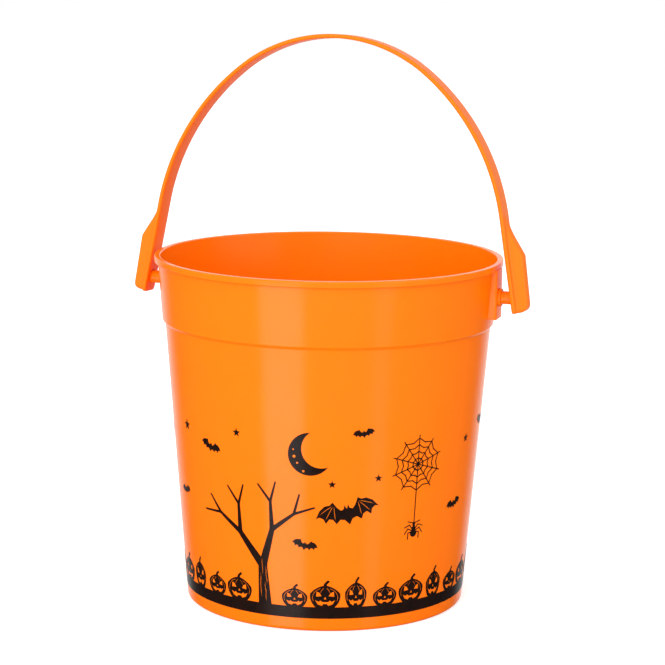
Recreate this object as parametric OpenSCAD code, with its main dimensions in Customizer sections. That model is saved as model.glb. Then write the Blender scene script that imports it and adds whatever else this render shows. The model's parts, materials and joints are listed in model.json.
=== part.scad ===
// Candy pail with a swing handle, in millimetres.
// The pail is one thin moulding that stands on its foot ring at z = 0, with
// +Z up and the handle's hinge line along X. The handle is a second moulding
// whose two legs snap onto pins at the sides of the collar. Black printed
// film is bonded to the wall: a ground band with carved pumpkins all round,
// and a bare tree, bats, a web with its spider, a moon and stars above it.

/* [Pail] */
// Outside diameter over the rim
rim_d = 180; // [150:1:220]
// Height from the foot to the top of the rim
pail_h = 180; // [160:1:230]
// Taper of the wall from upright, in degrees
draft = 4.75; // [2:0.25:6]
// Thickness of the wall, square to the pail's axis
wall = 1.5; // [1.2:0.1:2.5]
// Thickness of the floor
floor_t = 1.6; // [1.2:0.1:3]
// How far the floor's underside stands above the foot
foot_recess = 1.5; // [0.5:0.1:3]
// Width of the foot ring that the pail stands on
foot_w = 5; // [3:0.5:10]
// Rounding of the foot's outer corner
foot_r = 2; // [0.5:0.1:4]
// Rounding where the wall runs into the floor inside
floor_r = 3; // [1:0.5:6]

/* [Collar and rim] */
// Height of the rim's outer band
lip_h = 3.3; // [2:0.1:6]
// How far the rim's band stands out from the collar
lip_out = 1.9; // [1:0.1:4]
// Rounding of the rim's edges
lip_r = 0.7; // [0.3:0.1:1]
// Height of the collar, from its lower edge to the rim's top
collar_h = 33; // [28:1:45]
// How far the collar stands out from the wall below
collar_out = 1.9; // [1:0.1:3]
// Height of the slanted step under the collar
step_h = 5.5; // [3:0.5:10]

/* [Pivot pads and pins] */
// Height of the hinge line below the rim's top
hinge_drop = 16.8; // [14:0.2:18]
// How far the pad's flat face stands out past the rim
pad_proud = 0.6; // [0.2:0.1:2]
// Width of the pad, round the pail
pad_w = 12.4; // [10:0.2:16]
// How far the pad runs down below the hinge line
pad_drop = 10.9; // [8:0.1:12]
// Rounding of the pad's upright edges
pad_r = 1; // [0.5:0.1:2]
// Diameter of the boss at the root of the pin
boss_d = 9.2; // [8:0.1:10]
// Height of the boss on the pad
boss_h = 1.4; // [0.8:0.1:3]
// Chamfer round the boss's edge
boss_chamfer = 0.5; // [0.2:0.1:0.7]
// Diameter of the pin
pin_d = 6.6; // [5:0.1:7]
// Free length of the pin between the boss and the leg
pin_free = 5.4; // [3:0.1:8]
// Length of the pin inside the leg
pin_in = 4.4; // [3.5:0.1:4.6]
// Height of the snap bead round the pin's end
bead_h = 0.2; // [0.1:0.05:0.4]
// Length of the snap bead along the pin
bead_l = 1.6; // [1:0.1:2]

/* [Handle] */
// Height of the raised handle above the hinge line
arch_rise = 130; // [110:1:150]
// Outside radius of the handle's crown
crown_r = 79.5; // [70:0.5:85]
// Angle from the top to where the crown meets the flatter flanks
crown_angle = 38.7; // [30:0.1:45]
// Slant of the legs from upright
leg_splay = 9.9; // [6:0.1:12]
// Width of the strap, along the hand
strap_w = 14.5; // [12:0.5:20]
// Thickness of the strap
strap_t = 2.1; // [1.6:0.1:3]
// Rounding of the strap's edges
strap_r = 0.7; // [0.3:0.1:0.8]
// How far the handle leans back from upright
lean = 3.7; // [0:0.1:10]

/* [Leg ends] */
// How far the domed hub stands out from the strap
hub_out = 7.3; // [5:0.1:9]
// How far the hub's sides stand in from the strap's rounded edges
hub_inset = 0.15; // [0.05:0.05:1]
// Radius of the hub's dome
dome_r = 7.2; // [6.8:0.1:9]
// Length of the hub's full height above the hinge line
hub_up = 20.8; // [14:0.1:26]
// Length of the slanted ramp above the hub
ramp_l = 17.5; // [10:0.1:22]
// How far the leg ends below the hinge line
leg_end = 7.8; // [6:0.1:10]
// Rounding of the hub's lower outer corner
hub_r = 4; // [1:0.1:5]
// Rounding of the leg's two bottom corners, seen from outside
end_r = 2.4; // [1:0.1:4]
// Running clearance round the pin, on the radius
pin_clear = 0.1; // [0.05:0.01:0.1]
// Gap between the pin's end and the bottom of the socket
end_gap = 0.5; // [0.3:0.1:1]
// Chamfer that leads the pin into the socket
lead_in = 0.6; // [0.3:0.1:0.8]

/* [Print] */
// Thickness of the printed film
film_t = 0.1; // [0.05:0.05:0.2]
// Thickness of the glue line between the wall and the film
glue_t = 0.01; // [0.01:0.01:0.05]
// Turn of the print's middle from the front, towards the right pin
print_turn = 17; // [-30:1:30]
// Height of the ground band's lower edge
ground_z = 7; // [4:0.5:10]
// Height of the ground band
ground_h = 6; // [4:0.5:10]
// Number of places for pumpkins in the row round the pail
pumpkins = 30; // [18:6:36]
// Height of the bare tree
tree_h = 78; // [60:1:84]
// Width of the tree's trunk at its foot
trunk_w = 8; // [5:0.5:9]
// Wingspan of the largest bat
bat_span = 32; // [20:1:36]
// Diameter of the web
web_d = 30; // [24:1:34]
// Width of the web's threads and the spider's legs
thread_w = 0.5; // [0.4:0.05:0.7]
// Height of the spider's body
spider_h = 6; // [5:0.5:8]
// Diameter of the moon
moon_d = 22; // [14:1:26]
// Diameter of the largest star
star_d = 6; // [4:0.2:8]

/* [Hidden] */
$fn = 96;

// Steps in each rounded corner of an outline
arc_steps = 8;
// Steps in each bend of the strap, and in each rounded edge of its section
bend_steps = 12;
edge_steps = 2;
// Overrun of a cut past the face it opens, and of a piece into its root
over = 0.5;
// How far a rounding runs past the face that it meets, so that the two cross and don't only touch
cross_by = 0.05;

// Heights and radii of the pail's outside, worked down from the rim
slope = tan(draft);
rim_r = rim_d / 2;
lip_z = pail_h - lip_h;
collar_z = pail_h - collar_h;
step_z = collar_z - step_h;
collar_top_r = rim_r - lip_out;
function collar_r(z) = collar_top_r - (lip_z - z) * slope;
function body_r(z) = collar_r(z) - collar_out;
foot_top_z = foot_recess + floor_t;

// Hinge line and the faces along it
hinge_z = pail_h - hinge_drop;
pad_x = rim_r + pad_proud;
boss_x = pad_x + boss_h;
leg_x = boss_x + pin_free;
pin_end_x = leg_x + pin_in;
pin_r = pin_d / 2;

// Points along a round corner, from angle a to angle b
function arc(x, z, r, a, b) = [
    for (i = [0 : arc_steps])
        let (t = a + (b - a) * i / arc_steps)
        [x + r * cos(t), z + r * sin(t)]
];

// Half section of the pail's wall, floor, collar and rim
module pail_section() {
    inner = function (z) body_r(z) - wall;
    polygon(concat(
        [[0, foot_recess]],
        [[body_r(0) - foot_w, foot_recess]],
        [[body_r(0) - foot_w, 0]],
        arc(body_r(foot_r) - foot_r, foot_r, foot_r, -90, -draft),
        [[body_r(step_z), step_z]],
        [[collar_r(collar_z), collar_z]],
        [[collar_r(lip_z), lip_z]],
        arc(rim_r - lip_r, lip_z + lip_r, lip_r, -90, 0),
        arc(rim_r - lip_r, pail_h - lip_r, lip_r, 0, 90),
        arc(collar_r(pail_h) - wall + lip_r, pail_h - lip_r, lip_r, 90, 180),
        [[collar_r(collar_z) - wall, collar_z]],
        [[inner(step_z), step_z]],
        arc(inner(foot_top_z + floor_r) - floor_r, foot_top_z + floor_r, floor_r, -draft, -90),
        [[0, foot_top_z]]
    ));
}

// Outline of a pivot pad seen from above, with its upright edges rounded
module pad_plan() {
    half = pad_w / 2;
    translate([0, -half]) square([pad_x - pad_r, pad_w]);
    translate([0, pad_r - half]) square([pad_x, pad_w - 2 * pad_r]);
    for (side = [-1, 1]) {
        translate([pad_x - pad_r, side * (half - pad_r)]) circle(r = pad_r);
    }
}

// A pivot pad, from below the hinge line up into the rim, rooted in the collar's wall
module pad() {
    low = hinge_z - pad_drop;
    high = lip_z + lip_r;
    cut = [low - over, high + over];
    mid = function (z) collar_r(z) - wall / 2;
    difference() {
        translate([0, 0, low]) linear_extrude(high - low) pad_plan();
        translate([0, 0, cut[0]]) cylinder(r1 = mid(cut[0]), r2 = mid(cut[1]), h = cut[1] - cut[0]);
    }
}

// Half section of the boss, the pin and its snap bead, with the pin's axis upright
module pin_section() {
    length = pin_end_x - pad_x;
    bead_z = length - bead_l;
    mid = bead_z + bead_l / 2;
    polygon([
        [0, -over],
        [boss_d / 2, -over],
        [boss_d / 2, boss_h - boss_chamfer],
        [boss_d / 2 - boss_chamfer, boss_h],
        [pin_r, boss_h],
        [pin_r, bead_z],
        [pin_r + bead_h, mid],
        [pin_r - bead_h, length],
        [0, length]
    ]);
}

// The pail: wall, floor, collar and rim, with a pad, boss and pin each side
module pail() {
    color("darkorange") {
        rotate_extrude() pail_section();
        for (side = [0, 180]) rotate([0, 0, side]) {
            pad();
            translate([pad_x, 0, hinge_z]) rotate([0, 90, 0]) rotate_extrude() pin_section();
        }
    }
}

// Centres, radii and turns of the handle's crown and flanks, from the hinge line
leg_reach = leg_x * cos(leg_splay) + strap_t;
crown_z = arch_rise - crown_r;
flank_turn = 90 - leg_splay - crown_angle;
flank_r = (leg_reach - crown_z * sin(leg_splay) - crown_r * cos(flank_turn)) / (1 - cos(flank_turn));
flank_x = (crown_r - flank_r) * sin(crown_angle);
flank_z = crown_z + (crown_r - flank_r) * cos(crown_angle);

// The strap's outer face from the right leg's end to the left one's: [x, z, way out]
function bend(x, z, r, from, to, steps) = [
    for (i = [0 : steps])
        let (a = from + (to - from) * i / steps)
        [x + r * cos(a), z + r * sin(a), a]
];
leg_foot = leg_end + over;
foot_x = leg_reach * cos(leg_splay) + (leg_foot + leg_x * sin(leg_splay)) * sin(leg_splay);
foot_z = leg_reach * sin(leg_splay) - (leg_foot + leg_x * sin(leg_splay)) * cos(leg_splay);
right_half = concat(
    [[foot_x, foot_z, leg_splay]],
    bend(flank_x, flank_z, flank_r, leg_splay, 90 - crown_angle, bend_steps)
);
function mirrored(p) = [-p[0], p[1], 180 - p[2]];
crown = bend(0, crown_z, crown_r, 90 - crown_angle, 90 + crown_angle, 2 * bend_steps);
strap_route = concat(
    right_half,
    [for (i = [1 : len(crown) - 2]) crown[i]],
    [for (i = [len(right_half) - 1 : -1 : 0]) mirrored(right_half[i])]
);

// Section of the strap with rounded corners: [depth below the outer face, y]
strap_section = [
    for (corner = [0 : 3], i = [0 : edge_steps])
        let (
            a = corner * 90 + 90 * i / edge_steps,
            depth = (corner == 0 || corner == 3) ? strap_t - strap_r : strap_r,
            y = (corner < 2) ? strap_w / 2 - strap_r : strap_r - strap_w / 2
        )
        [depth + strap_r * cos(a), y + strap_r * sin(a)]
];

// The bent strap, swept along its route as one skin
module strap() {
    n = len(strap_section);
    rings = len(strap_route);
    points = [
        for (p = strap_route, q = strap_section)
            [p[0] - q[0] * cos(p[2]), q[1], p[1] - q[0] * sin(p[2])]
    ];
    sides = [
        for (k = [0 : rings - 2], i = [0 : n - 1])
            let (j = (i + 1) % n)
            [k * n + i, k * n + j, (k + 1) * n + j, (k + 1) * n + i]
    ];
    first = [for (i = [n - 1 : -1 : 0]) i];
    last = [for (i = [0 : n - 1]) (rings - 1) * n + i];
    polyhedron(points = points, faces = concat([first], sides, [last]), convexity = 4);
}

// Side view of the hub: x out from the leg's inner face, y up the leg
module hub_side() {
    out = strap_t + hub_out + cross_by;
    root = strap_t / 2;
    low = -leg_end - cross_by;
    top = hub_up + 2 * ramp_l;
    polygon(concat(
        [[root, low]],
        arc(out - hub_r, low + hub_r, hub_r, -90, 0),
        [[out, top]],
        [[root, top]]
    ));
}

// The domed hub on one leg, in the leg's own frame with the hinge line at its origin
module hub() {
    half = strap_w / 2 - strap_r - hub_inset;
    ramp_half = (half + dome_r) / 2;
    low = leg_end + 2 * over;
    tall = low + hub_up + 2 * ramp_l;
    intersection() {
        translate([strap_t + hub_out - dome_r, 0, -low]) cylinder(r = dome_r, h = tall);
        translate([strap_t + hub_out, 0, hub_up]) rotate([0, -atan2(hub_out, ramp_l), 0]) {
            translate([-dome_r, 0, -tall]) cylinder(r = dome_r, h = 2 * tall);
            translate([-dome_r - tall, -ramp_half, -tall]) cube([tall, 2 * ramp_half, 2 * tall]);
        }
        rotate([90, 0, 0]) translate([0, 0, -half]) linear_extrude(2 * half) hub_side();
    }
}

// What is cut away below a leg, to leave its end flat with two rounded corners
module end_cut() {
    half = strap_w / 2;
    round_y = half - end_r + cross_by;
    low = -leg_end - 2 * over;
    depth = strap_t + hub_out + 2 * over;
    difference() {
        translate([-over, -half - over, low]) cube([depth, strap_w + 2 * over, end_r + 2 * over]);
        rotate([90, 0, 90]) translate([0, 0, -2 * over]) linear_extrude(depth + 2 * over) {
            translate([-round_y, -leg_end]) square([2 * round_y, end_r + over]);
            for (side = [-1, 1]) {
                translate([side * round_y, end_r - leg_end]) circle(r = end_r);
            }
        }
    }
}

// Half section of the blind socket that takes the pin, with its axis upright
module socket_section() {
    mouth_r = pin_r + pin_clear;
    bead_z = pin_in - bead_l;
    seat_r = pin_r + bead_h + pin_clear;
    depth = pin_in + end_gap;
    root = -strap_t - over;
    polygon([
        [0, root],
        [mouth_r + lead_in + strap_t * sin(leg_splay), root],
        [mouth_r + lead_in, 0],
        [mouth_r, lead_in],
        [mouth_r, bead_z - bead_h],
        [seat_r, bead_z + bead_h],
        [seat_r, depth],
        [0, depth]
    ]);
}

// Places its children at one leg, in the leg's own frame
module at_leg(side) {
    mirror([side, 0, 0]) translate([leg_x, 0, 0]) rotate([0, -leg_splay, 0]) children();
}

// The handle: a bent strap with a domed, socketed hub at each end
module handle() {
    color("orange") translate([0, 0, hinge_z]) rotate([-lean, 0, 0]) difference() {
        union() {
            strap();
            for (side = [0, 1]) at_leg(side) hub();
        }
        for (side = [0, 1]) {
            at_leg(side) end_cut();
            mirror([side, 0, 0]) translate([leg_x, 0, 0]) rotate([0, 90, 0]) {
                rotate_extrude() socket_section();
            }
        }
    }
}

// The printed film's skin on the wall, between two heights
module film(low, high) {
    back = function (z) body_r(z) + glue_t;
    rotate_extrude() polygon([
        [back(low), low],
        [back(low) + film_t, low],
        [back(high) + film_t, high],
        [back(high), high]
    ]);
}

// Times that the picture repeats round the pail
print_repeats = 2;

// Cuts a flat motif out of the film, at a turn from the print's middle and a height
module printed(turn, z, half_h) {
    for (i = [0 : print_repeats - 1]) {
        intersection() {
            film(z - half_h, z + half_h);
            rotate([90, 0, print_turn + turn + i * 360 / print_repeats]) translate([0, z, body_r(0) / 2]) {
                linear_extrude(rim_r) children();
            }
        }
    }
}

// Height of a motif on the wall, as a share of the wall between the band and the collar
function at_height(share) = ground_top + share * (step_z - ground_top);
ground_top = ground_z + ground_h;

// The plain ground band round the foot
module ground_print() {
    color("black") film(ground_z, ground_top);
}

// Steps and lobes round a pumpkin, and the lobes' depth
gourd_steps = 28;
gourd_lobes = 5;
lobe_share = 0.06;
// Stem and carved face, as shares of a pumpkin's width and height
stem_shares = [[-0.07, 0.4], [0.06, 0.4], [0.05, 0.54], [0.15, 0.66], [0.08, 0.72], [-0.04, 0.57]];
eye_shares = [[-0.1, 0], [0.08, -0.02], [0.06, 0.19], [-0.04, 0.13]];
eye_place_shares = [0.21, 0.06];
nose_shares = [[-0.045, -0.07], [0.045, -0.07], [0, 0.04]];
grin_shares = [
    [-0.32, -0.1], [-0.2, -0.17], [-0.15, -0.11], [-0.09, -0.18], [0.09, -0.18], [0.15, -0.11], [0.2, -0.17],
    [0.32, -0.1], [0.24, -0.27], [0.1, -0.34], [0.06, -0.26], [-0.06, -0.26], [-0.1, -0.34], [-0.24, -0.27]
];
// The row's three pumpkins: width and height, as shares of the row's pitch
pumpkin_shares = [[1.03, 0.84], [0.74, 0.94], [0.88, 0.7]];
pitch = 2 * PI * body_r(ground_top) / pumpkins;
// Place in the row that the tree takes, counted back from the print's middle
tree_slot = 2;
// Share of a pumpkin's height that stands above its middle and below it
crown_share = 0.75;
sunk_share = 0.4;

// One carved pumpkin, centred on the origin and cut off flat at the ground
module pumpkin(w, h) {
    function sized(shares) = [for (p = shares) [p[0] * w, p[1] * h]];
    difference() {
        union() {
            polygon([
                for (i = [0 : gourd_steps - 1])
                    let (
                        a = 360 * i / gourd_steps,
                        r = (1 - lobe_share * abs(sin(gourd_lobes / 2 * (a - 90)))) / 2
                    )
                    [w * r * cos(a), h * r * sin(a)]
            ]);
            polygon(sized(stem_shares));
        }
        for (side = [0, 1]) mirror([side, 0]) translate([w * eye_place_shares[0], h * eye_place_shares[1]]) {
            polygon(sized(eye_shares));
        }
        polygon(sized(nose_shares));
        polygon(sized(grin_shares));
        translate([-w, -h * (1 + sunk_share)]) square([2 * w, h]);
    }
}

// The row of pumpkins on the ground band, with the tree's place left free
module pumpkin_prints() {
    places = pumpkins / print_repeats;
    color("black") for (i = [0 : places - 1]) if (i != places - tree_slot) {
        size = pitch * pumpkin_shares[i % len(pumpkin_shares)];
        z = ground_top + size[1] * sunk_share;
        printed(i * 360 / pumpkins, z, size[1] * crown_share) pumpkin(size[0], size[1]);
    }
}

// Right half of a bat, from its head to its tail, as shares of the wingspan
bat_half_shares = [
    [0, 0.09], [0.03, 0.16], [0.045, 0.1], [0.09, 0.08], [0.14, 0.13], [0.2, 0.24], [0.25, 0.2], [0.33, 0.2],
    [0.42, 0.14], [0.5, 0.02], [0.44, 0.04], [0.385, 0], [0.36, -0.08], [0.3, -0.02], [0.24, -0.04],
    [0.2, -0.12], [0.13, -0.06], [0.06, -0.08], [0, -0.17]
];
// The bats: turn and tilt in degrees, height up the wall and span as shares
bat_turns = [[8, 12], [-8, -12], [13, 8], [-47, -14], [57, 10], [-68, 6], [78, -8]];
bat_shares = [[0.38, 1], [0.25, 0.42], [0.7, 0.36], [0.6, 0.45], [0.36, 0.4], [0.38, 0.36], [0.66, 0.42]];

// One bat with its wings spread, level on the origin
module bat(span) {
    half = span * bat_half_shares;
    polygon(concat(half, [for (i = [len(half) - 2 : -1 : 1]) [-half[i][0], half[i][1]]]));
}

// The flight of bats
module bat_prints() {
    color("black") for (i = [0 : len(bat_turns) - 1]) {
        span = bat_span * bat_shares[i][1];
        printed(bat_turns[i][0], at_height(bat_shares[i][0]), span / 2) rotate(bat_turns[i][1]) bat(span);
    }
}

// A straight thread between two points
module thread(a, b) {
    d = b - a;
    half = thread_w / 2;
    translate(a) rotate(atan2(d[1], d[0])) translate([-half, -half]) square([norm(d) + thread_w, thread_w]);
}

// Point at a distance and an angle from the origin
function polar(r, a) = r * [cos(a), sin(a)];

web_spokes = 10;
web_rings = 4;
web_turn = 35;
web_height_share = 0.56;
ring_reach_share = 0.9;
ring_sag_share = 0.86;

// The orb web: straight spokes, and rings that sag between them
module web_print() {
    r = web_d / 2;
    step = 360 / web_spokes;
    color("black") printed(web_turn, at_height(web_height_share), r) for (i = [0 : web_spokes - 1]) {
        a = i * step - 90;
        thread([0, 0], polar(r, a));
        for (k = [1 : web_rings]) {
            ring = r * ring_reach_share * k / web_rings;
            middle = polar(ring * ring_sag_share, a + step / 2);
            thread(polar(ring, a), middle);
            thread(middle, polar(ring, a + step));
        }
    }
}

spider_height_share = 0.28;
// Shares of the spider's height: radius of its body and head, and the legs' two lengths
belly_share = 0.32;
head_share = 0.2;
leg_shares = [0.6, 0.52];
leg_pairs = 4;
// Turns of the legs: the first one's rise, the step to the next, and the bends at root and knee
leg_rise_angle = 60;
leg_fan_angle = 35;
root_angle = 20;
knee_angle = 45;

// The spider under the web, with four legs each side
module spider_print() {
    belly = spider_h * belly_share;
    head = spider_h * head_share;
    head_y = belly + head / 2;
    drop = at_height(web_height_share) - at_height(spider_height_share) - web_d / 2;
    color("black") printed(web_turn, at_height(spider_height_share), drop) {
        thread([0, 0], [0, drop]);
        circle(r = belly);
        translate([0, head_y]) circle(r = head);
        for (side = [0, 1], k = [0 : leg_pairs - 1]) mirror([side, 0]) {
            a = leg_rise_angle - k * leg_fan_angle;
            knee = [0, belly] + polar(spider_h * leg_shares[0], a + root_angle);
            thread([0, belly / 2], knee);
            thread(knee, knee + polar(spider_h * leg_shares[1], a - knee_angle));
        }
    }
}

moon_turn = -6;
moon_height_share = 0.62;
// How far the bite's centre lies from the moon's, and its size, as shares of the moon's radius
bite_shares = [0.5, 0.25];
bite_size_share = 0.9;

// The crescent moon
module moon_print() {
    r = moon_d / 2;
    color("black") printed(moon_turn, at_height(moon_height_share), r + film_t) difference() {
        circle(r = r);
        translate(r * bite_shares) circle(r = r * bite_size_share);
    }
}

// The stars: turn in degrees, then height up the wall and size as shares
star_turns = [-34, 19, -62, 62, -85, 2];
star_shares = [[0.68, 0.8], [0.52, 0.7], [0.66, 1], [0.62, 0.8], [0.6, 0.75], [0.5, 0.7]];
star_points = 5;
star_inner_share = 0.42;

// The scattered stars
module star_prints() {
    color("black") for (i = [0 : len(star_turns) - 1]) {
        r = star_d / 2 * star_shares[i][1];
        printed(star_turns[i], at_height(star_shares[i][0]), r + film_t) polygon([
            for (k = [0 : 2 * star_points - 1])
                polar(k % 2 == 0 ? r : r * star_inner_share, 90 + k * 180 / star_points)
        ]);
    }
}

limb_splits = 3;
// Shares of a limb: its first length in the tree's height, its taper, and its children's size
trunk_share = 0.36;
taper_share = 0.6;
joint_share = 0.64;
child_length_share = 0.72;
child_width_share = 0.56;
// Turns of the tree: the trunk's own, half the fork, and the sway that alternates up the limbs
trunk_angle = 92;
fork_angle = 27;
sway_angle = 9;

// One limb of the tree, with the two that fork from it
module limb(foot, lean_to, length, w, splits, sway) {
    tip = foot + polar(length, lean_to);
    side = polar(w / 2, lean_to + 90);
    polygon([foot + side, foot - side, tip - side * taper_share, tip + side * taper_share]);
    translate(tip) circle(r = w / 2 * joint_share);
    if (splits > 0) {
        for (way = [-1, 1]) {
            turn = lean_to + fork_angle * way + sway;
            limb(tip, turn, length * child_length_share, w * child_width_share, splits - 1, -sway);
        }
    }
}

// The bare tree, rooted in the ground band
module tree_print() {
    middle = tree_h / 2;
    turn = -tree_slot * 360 / pumpkins;
    color("black") printed(turn, ground_top + middle, middle) translate([0, -middle - trunk_w]) {
        limb([0, 0], trunk_angle, tree_h * trunk_share, trunk_w, limb_splits, sway_angle);
    }
}

pail();
handle();
ground_print();
pumpkin_prints();
tree_print();
bat_prints();
web_print();
spider_print();
moon_print();
star_prints();
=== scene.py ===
"""Looks of an orange candy pail with a swing handle and a black Halloween print round its wall."""
import json
import logging
import math
from dataclasses import dataclass, field
from enum import Enum
from functools import cached_property
from typing import Callable, Sequence

import bmesh
import bpy
from mathutils import Matrix, Vector
from mathutils.geometry import delaunay_2d_cdt


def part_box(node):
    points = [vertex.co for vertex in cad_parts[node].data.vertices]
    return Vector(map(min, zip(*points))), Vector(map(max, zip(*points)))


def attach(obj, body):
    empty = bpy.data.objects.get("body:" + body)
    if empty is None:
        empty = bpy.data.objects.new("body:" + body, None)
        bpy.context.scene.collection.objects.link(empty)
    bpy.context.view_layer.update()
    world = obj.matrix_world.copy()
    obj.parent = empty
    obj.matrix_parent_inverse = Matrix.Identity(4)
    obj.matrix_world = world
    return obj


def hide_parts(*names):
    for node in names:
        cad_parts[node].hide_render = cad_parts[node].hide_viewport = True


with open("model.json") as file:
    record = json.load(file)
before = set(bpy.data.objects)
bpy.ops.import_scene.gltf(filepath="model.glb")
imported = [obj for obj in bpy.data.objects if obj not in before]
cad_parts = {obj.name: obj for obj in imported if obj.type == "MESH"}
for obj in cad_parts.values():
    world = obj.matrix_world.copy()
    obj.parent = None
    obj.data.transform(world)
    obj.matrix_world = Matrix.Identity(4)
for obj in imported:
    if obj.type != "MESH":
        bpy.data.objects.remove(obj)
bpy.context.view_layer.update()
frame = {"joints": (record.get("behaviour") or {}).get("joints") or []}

MM = 0.001

Point = tuple[float, float]
Spot = tuple[float, float, float]
Loop = list[Point]
Shares = tuple[Point, ...]
Piece = bpy.types.Object
Socket = bpy.types.NodeSocket

log = logging.getLogger("candy_pail")


def arc(x: float, y: float, r: float, start: float, end: float, steps: int) -> Loop:
    """Points along a circular arc.

    Args:
        x: Centre's first coordinate.
        y: Centre's second coordinate.
        r: Radius.
        start: First angle in degrees.
        end: Last angle in degrees.
        steps: Number of equal steps between them.

    Returns:
        The points, both ends included.
    """
    turns = (math.radians(start + (end - start) * i / steps) for i in range(steps + 1))
    return [(x + r * math.cos(a), y + r * math.sin(a)) for a in turns]


def linked(name: str, data: bpy.types.ID) -> Piece:
    """Makes an object of its data at the origin and links it to the scene."""
    made = bpy.data.objects.new(name, data)
    bpy.context.scene.collection.objects.link(made)
    return made


def mesh_object(name: str, points: Sequence[Sequence[float]], faces: Sequence[Sequence[int]]) -> Piece:
    """Makes a mesh object at the origin from points and faces.

    Args:
        name: Name of the object and its mesh.
        points: Corner places, in metres.
        faces: Corner numbers of each face; none for a bare line of points.

    Returns:
        The object, linked to the scene.
    """
    edges = [] if faces else [(i, i + 1) for i in range(len(points) - 1)]
    mesh = bpy.data.meshes.new(name)
    mesh.from_pydata([tuple(p) for p in points], edges, [tuple(f) for f in faces])
    mesh.update()
    return linked(name, mesh)


def lofted(name: str, rings: Sequence[Sequence[Spot]]) -> Piece:
    """Makes a closed shape from rings of equally many points, with a flat face at each end.

    Args:
        name: Name of the object.
        rings: The rings, in their order along the shape.

    Returns:
        The shape, linked to the scene.
    """
    n = len(rings[0])
    last = n * (len(rings) - 1)
    faces = [tuple(range(n))[::-1], tuple(range(last, last + n))]
    for k in range(0, last, n):
        faces += [(k + i, k + (i + 1) % n, k + n + (i + 1) % n, k + n + i) for i in range(n)]
    return mesh_object(name, [p for ring in rings for p in ring], faces)


def plain_mesh(source: Piece, name: str) -> Piece:
    """Turns an object's evaluated result into a plain mesh object without modifiers.

    Args:
        source: Object whose modifiers are still live; it is deleted.
        name: Name of the new object.

    Returns:
        The plain object, linked to the scene.
    """
    bpy.context.view_layer.update()
    graph = bpy.context.evaluated_depsgraph_get()
    mesh = bpy.data.meshes.new_from_object(source.evaluated_get(graph))
    mesh.name = name
    bpy.data.objects.remove(source)
    return linked(name, mesh)


def joined(name: str, parts: Sequence[Piece]) -> Piece:
    """Joins plain mesh objects into one and deletes them.

    Args:
        name: Name of the joined object.
        parts: Objects at the origin with the same materials.

    Returns:
        The joined object.
    """
    whole = bmesh.new()
    for part in parts:
        whole.from_mesh(part.data)
    materials = list(parts[0].data.materials)
    for part in parts:
        bpy.data.objects.remove(part)
    mesh = bpy.data.meshes.new(name)
    whole.to_mesh(mesh)
    whole.free()
    for material in materials:
        mesh.materials.append(material)
    return linked(name, mesh)


def on_hinge(piece: Piece, side: int, x: float, z: float) -> None:
    """Lays a piece that was turned on the Z axis along the hinge line, with its far end outwards.

    Args:
        piece: The piece.
        side: 1 for the right of the pail and -1 for the left.
        x: Where its near end goes along the hinge line.
        z: Height of the hinge line.
    """
    lay = Matrix.Rotation(side * math.pi / 2, 4, "Y")
    piece.data.transform(Matrix.Translation((side * x, 0.0, z)) @ lay)


class NodeBuilder:
    """Adds nodes to one node tree and links them."""

    def __init__(self, tree: bpy.types.NodeTree) -> None:
        """Takes the tree that the nodes go into."""
        self.tree = tree

    def feed(self, socket: Socket, value: object) -> None:
        """Links an input to another node's output, or sets its value."""
        if isinstance(value, Socket):
            self.tree.links.new(value, socket)
        else:
            socket.default_value = value

    def node(self, kind: str, links: dict[str | int, object] | None = None, **settings: object) -> bpy.types.Node:
        """Adds a node.

        Args:
            kind: Node type.
            links: Socket name or number to the value or the socket that feeds it.
            settings: Attributes to set on the node before its sockets.

        Returns:
            The node.
        """
        made = self.tree.nodes.new(kind)
        for key, value in settings.items():
            setattr(made, key, value)
        for key, value in (links or {}).items():
            self.feed(made.inputs[key], value)
        return made

    def math(self, operation: str, a: object, b: object = 0.0) -> Socket:
        """Adds a Math node and gives its result."""
        return self.node("ShaderNodeMath", {0: a, 1: b}, operation=operation).outputs[0]

    def seen_directly(self) -> Socket:
        """A factor that is 1 for what the camera sees, also in a reflection or through glass."""
        path = self.node("ShaderNodeLightPath").outputs
        seen = self.math("MAXIMUM", path["Is Camera Ray"], path["Is Glossy Ray"])
        return self.math("MAXIMUM", seen, path["Is Transmission Ray"])


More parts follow.
